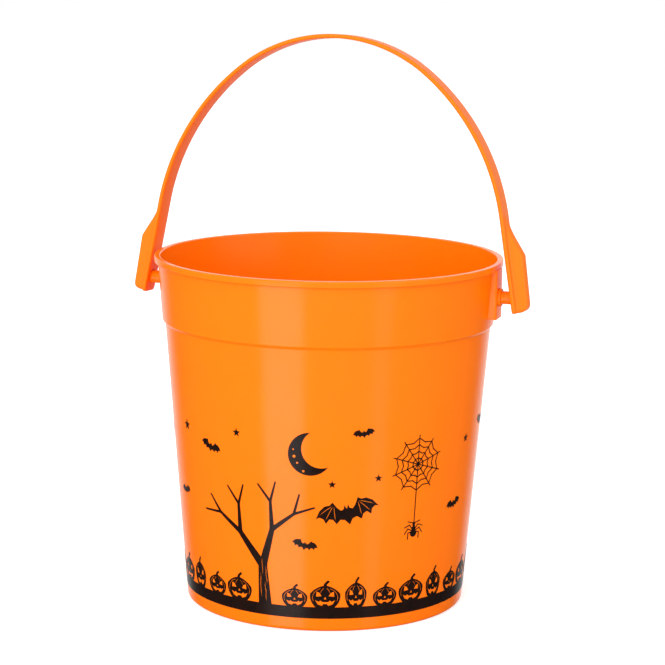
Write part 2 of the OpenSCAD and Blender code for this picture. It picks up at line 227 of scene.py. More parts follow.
class TreeMaker(NodeBuilder):
    """Builds one Geometry Nodes tree with named inputs and runs it on an object."""

    def __init__(self, name: str) -> None:
        """Starts an empty tree with a geometry input and a geometry output.

        Args:
            name: Name of the tree.
        """
        super().__init__(bpy.data.node_groups.new(name, "GeometryNodeTree"))
        self.tree.is_modifier = True
        self.inputs: dict[str, str] = {}
        for way in ("INPUT", "OUTPUT"):
            self.tree.interface.new_socket("Geometry", in_out=way, socket_type="NodeSocketGeometry")
        self.entry = self.node("NodeGroupInput")
        self.exit = self.node("NodeGroupOutput")
        self.geometry = self.entry.outputs["Geometry"]

    def size(self, name: str, kind: str = "NodeSocketFloat") -> Socket:
        """Adds a named input and gives its socket inside the tree.

        Args:
            name: Name of the input.
            kind: Type of the socket.

        Returns:
            The socket to link from.
        """
        socket = self.tree.interface.new_socket(name, in_out="INPUT", socket_type=kind)
        self.inputs[name] = socket.identifier
        return self.entry.outputs[name]

    def vector(self, operation: str, a: object, b: object = (0.0, 0.0, 0.0)) -> Socket:
        """Adds a Vector Math node and gives its vector result."""
        return self.node("ShaderNodeVectorMath", {0: a, 1: b}, operation=operation).outputs[0]

    def scaled(self, a: object, factor: object) -> Socket:
        """Scales a vector by a number."""
        return self.node("ShaderNodeVectorMath", {0: a, "Scale": factor}, operation="SCALE").outputs[0]

    def split(self, vector: Socket) -> tuple[Socket, ...]:
        """Gives the X, Y and Z of a vector."""
        return tuple(self.node("ShaderNodeSeparateXYZ", {0: vector}).outputs)

    def point(self, x: object = 0.0, y: object = 0.0, z: object = 0.0) -> Socket:
        """Makes a vector of its X, Y and Z."""
        return self.node("ShaderNodeCombineXYZ", {0: x, 1: y, 2: z}).outputs[0]

    def position(self) -> Socket:
        """Reads the places of a geometry's points."""
        return self.node("GeometryNodeInputPosition").outputs[0]

    def attribute(self, name: str, kind: str = "FLOAT") -> Socket:
        """Reads a named attribute."""
        return self.node("GeometryNodeInputNamedAttribute", {"Name": name}, data_type=kind).outputs[0]

    def placed(self, geometry: Socket, position: Socket) -> Socket:
        """Moves every point of a geometry to a position and gives the result."""
        return self.node("GeometryNodeSetPosition", {"Geometry": geometry, "Position": position}).outputs[0]

    def close(self, geometry: Socket, weld: float) -> None:
        """Ends the tree: real geometry, welded seams, smooth shading and one material.

        Args:
            geometry: What the tree has made.
            weld: Distance within which points are merged, in metres.
        """
        material = self.size("Material", "NodeSocketMaterial")
        real = self.node("GeometryNodeRealizeInstances", {0: geometry}).outputs[0]
        merged = self.node("GeometryNodeMergeByDistance", {"Geometry": real, "Distance": weld}).outputs[0]
        smooth = self.node("GeometryNodeSetShadeSmooth", {0: merged}).outputs[0]
        painted = self.node("GeometryNodeSetMaterial", {"Geometry": smooth, "Material": material}).outputs[0]
        self.feed(self.exit.inputs["Geometry"], painted)

    def run(self, source: Piece, name: str, values: dict[str, object]) -> Piece:
        """Runs the tree on an object and gives the plain result.

        Args:
            source: Object that the tree starts from; it is used up.
            name: Name of the finished piece.
            values: Value of each named input.

        Returns:
            The plain mesh object.
        """
        modifier = source.modifiers.new(self.tree.name, "NODES")
        modifier.node_group = self.tree
        for key, value in values.items():
            modifier[self.inputs[key]] = value
        return plain_mesh(source, name)


class Weld(Enum):
    """Distances within which a tree merges points, in metres."""

    FINE = 1e-7
    SEAM = 1e-6


def lathe_tree() -> TreeMaker:
    """A tree that turns a half section in the XZ plane once round the Z axis.

    Returns:
        The tree, with inputs Steps and Material.
    """
    maker = TreeMaker("Turned on the Z axis")
    steps = maker.size("Steps", "NodeSocketInt")
    count = maker.node("GeometryNodeAttributeDomainSize", {0: maker.geometry}).outputs[0]
    rings = maker.math("ADD", steps, 1.0)
    grid = maker.node("GeometryNodeMeshGrid", {"Vertices X": rings, "Vertices Y": count}).outputs[0]
    index = maker.node("GeometryNodeInputIndex").outputs[0]
    ring = maker.math("FLOOR", maker.math("DIVIDE", index, count))
    corner = maker.math("FLOORED_MODULO", index, count)
    outline = maker.node(
        "GeometryNodeSampleIndex",
        {"Geometry": maker.geometry, "Value": maker.position(), "Index": corner},
        data_type="FLOAT_VECTOR", domain="POINT",
    ).outputs[0]
    radius, _, height = maker.split(outline)
    turn = maker.math("DIVIDE", maker.math("MULTIPLY", ring, math.tau), steps)
    x = maker.math("MULTIPLY", radius, maker.math("COSINE", turn))
    y = maker.math("MULTIPLY", radius, maker.math("SINE", turn))
    maker.close(maker.placed(grid, maker.point(x, y, height)), Weld.SEAM.value)
    return maker


def strap_tree() -> TreeMaker:
    """A tree that bends a straight moulding along a path in the XZ plane.

    The moulding's X is the way along the path, its Y stays Y, and its Z is the way out from the path.

    Returns:
        The tree, with inputs Path and Material.
    """
    maker = TreeMaker("Bent along the path")
    path = maker.size("Path", "NodeSocketObject")
    info = maker.node("GeometryNodeObjectInfo", {"Object": path}, transform_space="RELATIVE")
    along, across, outwards = maker.split(maker.position())
    sample = maker.node(
        "GeometryNodeSampleCurve",
        {"Curves": info.outputs["Geometry"], "Length": along},
        mode="LENGTH", use_all_curves=True,
    ).outputs
    out = maker.vector("NORMALIZE", maker.vector("CROSS_PRODUCT", maker.point(y=1.0), sample["Tangent"]))
    lifted = maker.vector("ADD", sample["Position"], maker.scaled(out, outwards))
    bent = maker.vector("ADD", lifted, maker.point(y=across))
    maker.close(maker.placed(maker.geometry, bent), Weld.FINE.value)
    return maker


def print_tree() -> TreeMaker:
    """A tree that scatters flat motifs and prints them round a cone.

    It starts from points at the origin, one per motif, that carry turn, height, tilt, size and kind.
    A motif's X is the way round the wall, its Y the way up, and its Z tells the film's outside from its back.

    Returns:
        The tree, with inputs Motifs, Repeats, Foot radius, Slope, Glue, Film and Material.
    """
    maker = TreeMaker("Printed round the wall")
    motifs = maker.size("Motifs", "NodeSocketCollection")
    repeats = maker.size("Repeats", "NodeSocketInt")
    foot, slope, glue, film = (maker.size(name) for name in ("Foot radius", "Slope", "Glue", "Film"))
    library = maker.node(
        "GeometryNodeCollectionInfo",
        {"Collection": motifs, "Separate Children": True, "Reset Children": True},
    ).outputs[0]
    scattered = maker.node(
        "GeometryNodeInstanceOnPoints",
        {
            "Points": maker.geometry, "Instance": library, "Pick Instance": True,
            "Instance Index": maker.attribute("kind", "INT"), "Rotation": maker.point(z=maker.attribute("tilt")),
            "Scale": maker.attribute("size"),
        },
    ).outputs[0]
    copies = maker.node("GeometryNodeDuplicateElements", {0: scattered, "Amount": repeats}, domain="INSTANCE")
    share = maker.math("DIVIDE", copies.outputs["Duplicate Index"], repeats)
    kept = maker.node(
        "GeometryNodeStoreNamedAttribute",
        {"Geometry": copies.outputs[0], "Name": "copy_turn", "Value": maker.math("MULTIPLY", share, math.tau)},
        data_type="FLOAT", domain="INSTANCE",
    ).outputs[0]
    real = maker.node("GeometryNodeRealizeInstances", {0: kept}).outputs[0]
    across, up, out = maker.split(maker.position())
    height = maker.math("ADD", maker.attribute("height"), up)
    wall = maker.math("ADD", foot, maker.math("MULTIPLY", height, slope))
    bent = maker.math("ARCSINE", maker.math("DIVIDE", across, wall))
    turn = maker.math("ADD", maker.math("ADD", maker.attribute("turn"), maker.attribute("copy_turn")), bent)
    outside = maker.math("MULTIPLY", maker.math("GREATER_THAN", out, Weld.SEAM.value), film)
    radius = maker.math("ADD", maker.math("ADD", wall, glue), outside)
    x = maker.math("MULTIPLY", radius, maker.math("SINE", turn))
    y = maker.math("MULTIPLY", maker.math("MULTIPLY", radius, maker.math("COSINE", turn)), -1.0)
    maker.close(maker.placed(real, maker.point(x, y, height)), Weld.FINE.value)
    return maker


class Shader(NodeBuilder):
    """Builds one node material round a Principled shader."""

    def __init__(self, name: str) -> None:
        """Starts a material with its shader.

        Args:
            name: Name of the material.
        """
        self.material = bpy.data.materials.new(name)
        self.material.use_nodes = True
        super().__init__(self.material.node_tree)
        self.shader = self.tree.nodes["Principled BSDF"]

    @cached_property
    def place(self) -> Socket:
        """Object coordinates, in metres."""
        return self.node("ShaderNodeTexCoord").outputs["Object"]

    def set(self, **values: object) -> None:
        """Sets or links the shader's own sockets, named with underscores for spaces."""
        for key, value in values.items():
            self.feed(self.shader.inputs[key.replace("_", " ")], value)

    def noise(self, size: float, detail: float = 2.0) -> Socket:
        """Noise with features of a real size.

        Args:
            size: Size of the features, in metres.
            detail: Octaves of finer noise.

        Returns:
            The noise, from 0 to 1.
        """
        return self.node("ShaderNodeTexNoise", {"Vector": self.place, "Scale": 1 / size, "Detail": detail}).outputs[0]

    def blend(self, factor: object, low: Spot, high: Spot) -> Socket:
        """Mixes two colours by a factor."""
        return self.node("ShaderNodeMix", {0: factor, 6: (*low, 1.0), 7: (*high, 1.0)}, data_type="RGBA").outputs[2]

    def between(self, factor: object, low: float, high: float) -> Socket:
        """Maps a factor from 0 to 1 onto a range."""
        return self.node("ShaderNodeMapRange", {"Value": factor, "To Min": low, "To Max": high}).outputs[0]

    def bump(self, height: object, depth: float, before: Socket | None = None) -> Socket:
        """A bump of a real depth.

        Args:
            height: Height from 0 to 1.
            depth: Depth of the bump, in metres.
            before: Normal of a bump that this one lies on.

        Returns:
            The normal.
        """
        links: dict[str | int, object] = {"Height": height, "Distance": depth}
        if before is not None:
            links["Normal"] = before
        return self.node("ShaderNodeBump", links).outputs[0]


@dataclass(frozen=True)
class MouldedPlastic:
    """Glossy coloured plastic as it comes out of a polished mould."""

    name: str = "moulded_orange_plastic"
    colour: Spot = (1.0, 0.188, 0.0)
    deep_colour: Spot = (0.99, 0.176, 0.0)
    roughness: float = 0.17
    dull_roughness: float = 0.24
    flow_size: float = 45 * MM
    flow_depth: float = 0.22 * MM
    grain_size: float = 0.5 * MM
    grain_depth: float = 0.0015 * MM
    ior: float = 1.46
    shine: float = 0.5
    glow: float = 0.15
    glow_depth: float = 3 * MM
    glow_reach: Spot = (1.0, 0.35, 0.05)

    def material(self) -> bpy.types.Material:
        """Makes the material.

        Returns:
            Material with faint flow marks, slow waves in the gloss and a fine grain.
        """
        made = Shader(self.name)
        flow = made.noise(self.flow_size)
        waves = made.bump(flow, self.flow_depth)
        made.set(
            Base_Color=made.blend(flow, self.colour, self.deep_colour),
            Roughness=made.between(made.noise(self.flow_size / 3), self.roughness, self.dull_roughness),
            Normal=made.bump(made.noise(self.grain_size), self.grain_depth, waves),
            IOR=self.ior,
            Specular_IOR_Level=self.shine,
            Subsurface_Weight=self.glow,
            Subsurface_Scale=self.glow_depth,
            Subsurface_Radius=self.glow_reach,
        )
        return made.material


@dataclass(frozen=True)
class TransferInk:
    """Black ink of a heat-transfer print, a little thinner in places."""

    name: str = "black_transfer_ink"
    colour: Spot = (0.006, 0.004, 0.0035)
    thin_colour: Spot = (0.018, 0.006, 0.0035)
    roughness: float = 0.22
    dull_roughness: float = 0.34
    patch_size: float = 6 * MM
    patch_detail: float = 3.0
    grain_size: float = 0.4 * MM
    grain_depth: float = 0.004 * MM
    ior: float = 1.46
    shine: float = 0.25

    def material(self) -> bpy.types.Material:
        """Makes the material.

        Returns:
            Material with patches of thinner ink and a fine grain.
        """
        made = Shader(self.name)
        patches = made.noise(self.patch_size, self.patch_detail)
        made.set(
            Base_Color=made.blend(patches, self.colour, self.thin_colour),
            Roughness=made.between(patches, self.roughness, self.dull_roughness),
            Normal=made.bump(made.noise(self.grain_size), self.grain_depth),
            IOR=self.ior,
            Specular_IOR_Level=self.shine,
        )
        return made.material


@dataclass
class Workshop:
    """The object's materials and the lathe, made once."""

    plastic: bpy.types.Material = field(default_factory=lambda: MouldedPlastic().material())
    strap: bpy.types.Material = field(default_factory=lambda: MouldedPlastic(
        "moulded_orange_handle", roughness=0.38, dull_roughness=0.46, grain_depth=0.0005 * MM, shine=0.3, glow=0.05,
    ).material())
    ink: bpy.types.Material = field(default_factory=lambda: TransferInk().material())
    lathe: TreeMaker = field(default_factory=lathe_tree)

    def turned(self, name: str, outline: Sequence[Point], steps: int, finish: bpy.types.Material) -> Piece:
        """Turns an outline once round the Z axis.

        Args:
            name: Name of the piece.
            outline: Points as radius and height.
            steps: Number of steps round the axis.
            finish: The piece's material.

        Returns:
            The turned piece.
        """
        line = mesh_object(name + "_section", [(r, 0.0, z) for r, z in outline], [])
        return self.lathe.run(line, name, {"Steps": steps, "Material": finish})


class Slot(Enum):
    """Material slots of the record."""

    PAIL = "pail_plastic"
    HANDLE = "handle_plastic"
    PRINT = "print_ink"


class Body(Enum):
    """Bodies of the frame that pieces ride on."""

    PAIL = "pail"
    HANDLE = "handle"


def recalculate(piece: Piece) -> None:
    """Merges a piece's doubles and turns its faces outwards."""
    shape = bmesh.new()
    shape.from_mesh(piece.data)
    bmesh.ops.remove_doubles(shape, verts=shape.verts, dist=Weld.FINE.value)
    bmesh.ops.recalc_face_normals(shape, faces=shape.faces)
    for face in shape.faces:
        face.smooth = True
    shape.to_mesh(piece.data)
    shape.free()


def seat(piece: Piece, body: Body, node: str, crease: float = 32.0) -> None:
    """Turns a finished piece's faces outwards, hands it to the frame and reports it.

    Args:
        piece: The finished plain mesh object.
        body: Body that it moves with.
        node: CAD node that it stands for.
        crease: Angle between faces above which their edge stays sharp, in degrees.
    """
    recalculate(piece)
    piece.data.set_sharp_from_angle(angle=math.radians(crease))
    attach(piece, body.value)
    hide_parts(node)
    log.info("%s rides on %s: %d faces", piece.name, body.value, len(piece.data.polygons))


@dataclass
class Pail:
    """The pail moulding: wall, floor, collar and rim, with a pad, boss and pin each side."""

    shop: Workshop
    hinge_z: float
    rim_r: float = field(default_factory=lambda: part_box("pail")[1][1])
    height: float = field(default_factory=lambda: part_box("pail")[1][2])
    pin_end_x: float = field(default_factory=lambda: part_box("pail")[1][0])
    draft: float = 4.75
    wall: float = 1.5 * MM
    floor_t: float = 1.6 * MM
    foot_recess: float = 1.5 * MM
    foot_w: float = 5 * MM
    foot_r: float = 2 * MM
    floor_r: float = 3 * MM
    lip_h: float = 3.3 * MM
    lip_out: float = 1.9 * MM
    lip_r: float = 0.7 * MM
    collar_h: float = 33 * MM
    collar_out: float = 1.35 * MM
    step_h: float = 1.6 * MM
    print_drop: float = 5.5 * MM
    crease_r: float = 0.5 * MM
    gate_r: float = 2.5 * MM
    gate_h: float = 0.5 * MM
    pad_proud: float = 0.6 * MM
    pad_w: float = 12.4 * MM
    pad_drop: float = 10.9 * MM
    pad_r: float = 1 * MM
    pad_edge_r: float = 0.3 * MM
    boss_d: float = 9.2 * MM
    boss_h: float = 1.4 * MM
    boss_chamfer: float = 0.5 * MM
    pin_d: float = 6.6 * MM
    bead_h: float = 0.2 * MM
    bead_l: float = 1.6 * MM
    guard: float = 0.35 * MM
    wall_steps: int = 288
    pin_steps: int = 64
    arc_steps: int = 8
    edge_steps: int = 4
    sharp_r: float = 0.0001 * MM

    @property
    def slope(self) -> float:
        """Growth of the wall's radius with height."""
        return math.tan(math.radians(self.draft))

    def collar_r(self, z: float) -> float:
        """Outer radius of the collar at a height."""
        return self.rim_r - self.lip_out - (self.height - self.lip_h - z) * self.slope

    def body_r(self, z: float) -> float:
        """Outer radius of the wall below the collar at a height."""
        return self.collar_r(z) - self.collar_out

    @property
    def pad_x(self) -> float:
        """Place of the pads' flat faces along the hinge line."""
        return self.rim_r + self.pad_proud

    def rounded(self, corners: Sequence[tuple[float, float, float]]) -> Loop:
        """Rounds the corners of an open outline and guards the ends of its straight runs.

        Args:
            corners: The corners as first coordinate, second coordinate and radius; none is cut at radius 0.

        Returns:
            The outline with an arc at each rounded corner.
        """
        out: Loop = [corners[0][:2]]
        for before, here, after in zip(corners, corners[1:], corners[2:]):
            corner = Vector(here[:2])
            back = (Vector(before[:2]) - corner).normalized()
            ahead = (Vector(after[:2]) - corner).normalized()
            half = back.angle(ahead) / 2
            reach = here[2] / math.tan(half)
            centre = corner + (back + ahead).normalized() * (here[2] / math.sin(half))
            start = corner + back * reach
            end = corner + ahead * reach
            out.append(tuple(corner + back * (reach + self.guard)))
            for i in range(self.arc_steps + 1):
                chord = start.lerp(end, i / self.arc_steps) - centre
                out.append(tuple(centre + chord.normalized() * here[2]))
            out.append(tuple(corner + ahead * (reach + self.guard)))
        out.append(corners[-1][:2])
        return out

    def section(self) -> Loop:
        """Half section of the moulding, from the underside's centre round to the floor's centre.

        Returns:
            Points as radius and height.
        """
        step_z = self.height - self.collar_h - self.step_h
        collar_z = self.height - self.collar_h
        lip_z = self.height - self.lip_h
        floor_z = self.foot_recess + self.floor_t
        top_in = self.collar_r(self.height) - self.wall
        return self.rounded([
            (0.0, self.foot_recess - self.gate_h, 0.0),
            (self.gate_r, self.foot_recess - self.gate_h, self.gate_h / 3),
            (self.gate_r + self.gate_h / 2, self.foot_recess, self.gate_h / 3),
            (self.body_r(0.0) - self.foot_w, self.foot_recess, self.crease_r),
            (self.body_r(0.0) - self.foot_w, 0.0, self.crease_r),
            (self.body_r(0.0), 0.0, self.foot_r),
            (self.body_r(step_z), step_z, self.crease_r),
            (self.collar_r(collar_z), collar_z, self.crease_r),
            (self.collar_r(lip_z), lip_z, self.crease_r / 2),
            (self.rim_r, lip_z, self.lip_r),
            (self.rim_r, self.height, self.lip_r),
            (top_in, self.height, self.lip_r),
            (self.collar_r(collar_z) - self.wall, collar_z, self.crease_r),
            (self.body_r(step_z) - self.wall, step_z, self.crease_r),
            (self.body_r(floor_z) - self.wall, floor_z, self.floor_r),
            (0.0, floor_z, 0.0),
        ])

    def pad(self, side: int) -> Piece:
        """One pivot pad, rooted in the middle of the collar's wall.

        Args:
            side: 1 for the right pad and -1 for the left one.

        Returns:
            The pad.
        """
        low = self.hinge_z - self.pad_drop
        high = self.height - self.lip_h + self.lip_r
        half = self.pad_w / 2
        edge, r = self.pad_edge_r, self.pad_r
        levels = [(z + low, inset) for inset, z in arc(edge, edge, edge, 180, 270, self.edge_steps)[::-1]]
        levels += [(low + edge + self.guard, 0.0), (high, 0.0)]
        rings = []
        for z, inset in levels:
            root = self.collar_r(z) - self.wall / 2
            corner = arc(self.pad_x - inset - r, half - inset - r, r, 90, 0, self.arc_steps)
            ring = [(root, half - inset), *corner, *((x, -y) for x, y in corner[::-1]), (root, inset - half)]
            rings.append([(side * x, side * y, z) for x, y in ring])
        made = lofted("pivot_pad", rings)
        made.data.materials.append(self.shop.plastic)
        return made

    def pin(self, side: int) -> Piece:
        """One boss with its pin and snap bead.

        Args:
            side: 1 for the right pin and -1 for the left one.

        Returns:
            The boss and pin.
        """
        length = self.pin_end_x - self.pad_x
        pin_r, boss_r = self.pin_d / 2, self.boss_d / 2
        bead = length - self.bead_l
        fillet = self.boss_chamfer / 2
        outline = self.rounded([
            (0.0, -self.pad_proud, 0.0),
            (boss_r, -self.pad_proud, self.sharp_r),
            (boss_r, self.boss_h, self.boss_chamfer),
            (pin_r, self.boss_h, fillet),
            (pin_r, bead, fillet),
            (pin_r + self.bead_h, bead + self.bead_l / 2, fillet),
            (pin_r - self.bead_h, length, fillet),
            (0.0, length, 0.0),
        ])
        made = self.shop.turned("pivot_pin", outline, self.pin_steps, self.shop.plastic)
        on_hinge(made, side, self.pad_x, self.hinge_z)
        return made

    def build(self) -> None:
        """Builds the pail's pieces and seats them on the frame."""
        shell = self.shop.turned("pail_shell", self.section(), self.wall_steps, self.shop.plastic)
        seat(shell, Body.PAIL, "pail")
        seat(joined("pivot_pads", [self.pad(1), self.pad(-1)]), Body.PAIL, "pail")
        seat(joined("pivot_pins", [self.pin(1), self.pin(-1)]), Body.PAIL, "pail")


@dataclass
class Handle:
    """The handle moulding: a strap swept along three tangent arcs, with a domed hub at each end."""

    shop: Workshop
    pail: Pail
    arch_rise: float = 130 * MM
    crown_r: float = 79.5 * MM
    crown_angle: float = 38.7
    splay: float = 9.9
    strap_w: float = 14.5 * MM
    strap_t: float = 2.1 * MM
    strap_r: float = 1.0 * MM
    lean: float = 3.7
    hub_out: float = 7.3 * MM
    dome_r: float = 7.2 * MM
    hub_up: float = 20.8 * MM
    ramp_l: float = 17.5 * MM
    leg_end: float = 7.8 * MM
    hub_r: float = 5.2 * MM
    hub_fall: float = 1.8
    hub_ledge: float = 2.1 * MM
    hub_edge_r: float = 1.4 * MM
    ramp_blend: float = 3.2 * MM
    end_r: float = 2.4 * MM
    edge_r: float = 0.4 * MM
    soft: float = 0.35 * MM
    pin_clear: float = 0.1 * MM
    pin_in: float = 4.4 * MM
    end_gap: float = 0.5 * MM
    lead_in: float = 0.6 * MM
    arc_step: float = 0.6
    ring_gap: float = 1.6 * MM
    fine_gap: float = 0.45 * MM
    end_turns: range = range(0, 91, 15)
    corner_turns: range = range(25, 91, 6)
    dome_steps: int = 32
    edge_steps: int = 6
    fillet_steps: int = 8
    socket_steps: int = 48

    @property
    def leg_x(self) -> float:
        """Place of the legs' inner faces on the hinge line."""
        return self.pail.pin_end_x - self.pin_in

    def route(self) -> Loop:
        """The strap's outer face from the right leg's end to the left one's, with the hinge line at the origin.

        Returns:
            Points as X and height.
        """
        tilt = math.radians(self.splay)
        reach = self.leg_x * math.cos(tilt) + self.strap_t
        crown_z = self.arch_rise - self.crown_r
        crown = math.radians(self.crown_angle)
        turn = math.pi / 2 - tilt - crown
        gap = reach - crown_z * math.sin(tilt) - self.crown_r * math.cos(turn)
        flank_r = gap / (1 - math.cos(turn))
        flank_x = (self.crown_r - flank_r) * math.sin(crown)
        flank_z = crown_z + (self.crown_r - flank_r) * math.cos(crown)
        foot = (
            self.leg_x + self.strap_t * math.cos(tilt) + self.leg_end * math.sin(tilt),
            self.strap_t * math.sin(tilt) - self.leg_end * math.cos(tilt),
        )
        top = 90 - self.crown_angle
        flank = arc(flank_x, flank_z, flank_r, self.splay, top, round((top - self.splay) / self.arc_step))
        over = arc(0.0, crown_z, self.crown_r, top, 90, round(self.crown_angle / self.arc_step))
        half = [foot, *flank, *over[1:]]
        return half + [(-x, z) for x, z in half[-2::-1]]

    def stations(self, length: float) -> list[float]:
        """Distances along the strap at which its section is drawn.

        Args:
            length: Length of the whole strap.

        Returns:
            The distances, close together at the legs' ends and along the ramps.
        """
        ramp_from = self.leg_end + self.hub_up
        ramp_to = ramp_from + self.ramp_l * (1 + self.strap_t / 2 / self.hub_out)
        round_end = [self.edge_r * (1 - math.cos(math.radians(a))) for a in self.end_turns]
        curve_end = [self.hub_r * (1 - math.cos(math.radians(a))) for a in self.corner_turns]
        half = sorted({*round_end, *curve_end})
        while half[-1] < length / 2 - self.ring_gap:
            near = ramp_from - self.ring_gap < half[-1] < ramp_to + self.ring_gap
            half.append(half[-1] + (self.fine_gap if near else self.ring_gap))
        return half + [length / 2] + [length - s for s in reversed(half)]

    def softer_least(self, a: float, b: float) -> float:
        """The smaller of two heights, with the crease between them rounded."""
        h = max(self.soft - abs(a - b), 0.0) / self.soft
        return min(a, b) - h * h * self.soft / 4

    @property
    def hub_half(self) -> float:
        """Half the hub's width, inside the ledge that its root fillet takes."""
        return self.strap_w / 2 - self.strap_r - self.hub_ledge

    def sag(self, y: float) -> float:
        """How far the dome lies below its crest, with its side edges rounded.

        Args:
            y: Distance from the strap's middle.

        Returns:
            The drop from the crest.
        """
        past = abs(y) - self.hub_half + self.hub_edge_r
        rise = math.sqrt((self.dome_r - self.hub_edge_r) ** 2 - (self.hub_half - self.hub_edge_r) ** 2)
        bend = math.atan2(rise, self.hub_half - self.hub_edge_r)
        if past < self.hub_edge_r * math.cos(bend):
            return self.dome_r - math.sqrt(self.dome_r ** 2 - y * y)
        return self.dome_r - rise - math.sqrt(max(self.hub_edge_r ** 2 - past * past, 0.0))

    def hub_height(self, s: float, y: float) -> float:
        """How far the hub stands out of the strap.

        Args:
            s: Distance from the leg's end along the strap.
            y: Distance from the strap's middle.

        Returns:
            The height above the strap's outer face, not below 0.
        """
        sag = self.sag(y)
        past = s - self.leg_end - self.hub_up
        lift = math.hypot(1.0, self.hub_out / self.ramp_l)
        crest = self.hub_out + min(past, 0.0) * math.tan(math.radians(self.hub_fall))
        dome = crest - sag
        ramp = self.hub_out - past * self.hub_out / self.ramp_l - sag * lift
        bite = max(self.hub_r - s, 0.0)
        corner = crest - self.hub_r + math.sqrt(self.hub_r ** 2 - bite * bite)
        body = self.softer_least(self.softer_least(dome, ramp), corner)
        near = max(self.ramp_blend - abs(body), 0.0) / self.ramp_blend if past > 0 else 0.0
        return max(body, 0.0) + near * near * self.ramp_blend / 4

    def section(self, s: float) -> Loop:
        """The moulding's section at a distance from the leg's end.

        Args:
            s: Distance from the leg's end along the strap.

        Returns:
            Points as Y and height above the strap's outer face.
        """
        r = self.strap_r
        cut = max(self.edge_r - s, 0.0)
        inset = self.edge_r - math.sqrt(self.edge_r ** 2 - cut ** 2)
        bite = max(self.end_r - s, 0.0)
        narrow = self.end_r - math.sqrt(self.end_r ** 2 - bite ** 2)
        half = self.strap_w / 2 - max(inset, narrow)
        foot = half - r
        side = foot - self.hub_ledge
        wide = self.hub_half / side
        dome = []
        for i in range(1, self.dome_steps):
            y = side * math.sin(math.pi / 2 * (1 - 2 * i / self.dome_steps))
            dome.append((y, self.hub_height(s, y * wide) - inset))
        under = arc(foot, r - self.strap_t + inset, r, -90, 0, self.edge_steps)
        over = arc(foot, -r - inset, r, 0, 90, self.edge_steps)
        top = self.hub_height(s, self.hub_half)
        root = min(self.hub_ledge, top)
        fillet = arc(side + root, root - inset, root, 270, 180, self.fillet_steps)
        right = [*under, *over, *fillet, (side, max(top, root) - inset)]
        return right + dome + [(-y, h) for y, h in reversed(right)]

    def blank(self, length: float) -> Piece:
        """The moulding laid out straight: X along it, Y across and Z out from the outer face.

        Args:
            length: Length of the strap.

        Returns:
            The straight moulding.
        """
        rings = [[(s, y, h) for y, h in self.section(min(s, length - s))] for s in self.stations(length)]
        made = lofted("handle_blank", rings)
        recalculate(made)
        return made

    def socket(self, side: int) -> Piece:
        """The space that one leg's blind socket leaves for the pin.

        Args:
            side: 1 for the right leg and -1 for the left one.

        Returns:
            The space as a closed shape, in the place that it has on the upright handle.
        """
        mouth = self.pail.pin_d / 2 + self.pin_clear
        bead_h = self.pail.bead_h
        bead = self.pin_in - self.pail.bead_l
        depth = self.pin_in + self.end_gap
        out = self.strap_t
        outline = [
            (0.0, -out), (mouth + self.lead_in + out * math.sin(math.radians(self.splay)), -out),
            (mouth + self.lead_in, 0.0), (mouth, self.lead_in), (mouth, bead - bead_h),
            (mouth + bead_h, bead + bead_h), (mouth + bead_h, depth), (0.0, depth),
        ]
        made = self.shop.turned("socket", outline, self.socket_steps, self.shop.strap)
        on_hinge(made, side, self.leg_x, 0.0)
        recalculate(made)
        return made

    def build(self) -> None:
        """Bends the strap, cuts the sockets, leans the handle back and seats it on the frame."""
        route = self.route()
        length = sum(math.dist(a, b) for a, b in zip(route, route[1:]))
        data = bpy.data.curves.new("handle_path", "CURVE")
        data.dimensions = "3D"
        line = data.splines.new("POLY")
        line.points.add(len(route) - 1)
        for point, (x, z) in zip(line.points, route):
            point.co = (x, 0.0, z, 1.0)
        path = linked("handle_path", data)
        bent = strap_tree().run(self.blank(length), "bent_strap", {"Path": path, "Material": self.shop.strap})
        bpy.data.objects.remove(path)
        sockets = [self.socket(side) for side in (1, -1)]
        for cutter in sockets:
            cut = bent.modifiers.new(cutter.name, "BOOLEAN")
            cut.operation = "DIFFERENCE"
            cut.solver = "EXACT"
            cut.object = cutter
        made = plain_mesh(bent, "swing_handle")
        for cutter in sockets:
            bpy.data.objects.remove(cutter)
        lean = Matrix.Rotation(math.radians(-self.lean), 4, "X")
        made.data.transform(Matrix.Translation((0.0, 0.0, self.pail.hinge_z)) @ lean)
        seat(made, Body.HANDLE, "handle")


def polar(r: float, degrees: float) -> Vector:
    """Point at a distance and an angle from the origin."""
    return Vector((r * math.cos(math.radians(degrees)), r * math.sin(math.radians(degrees))))


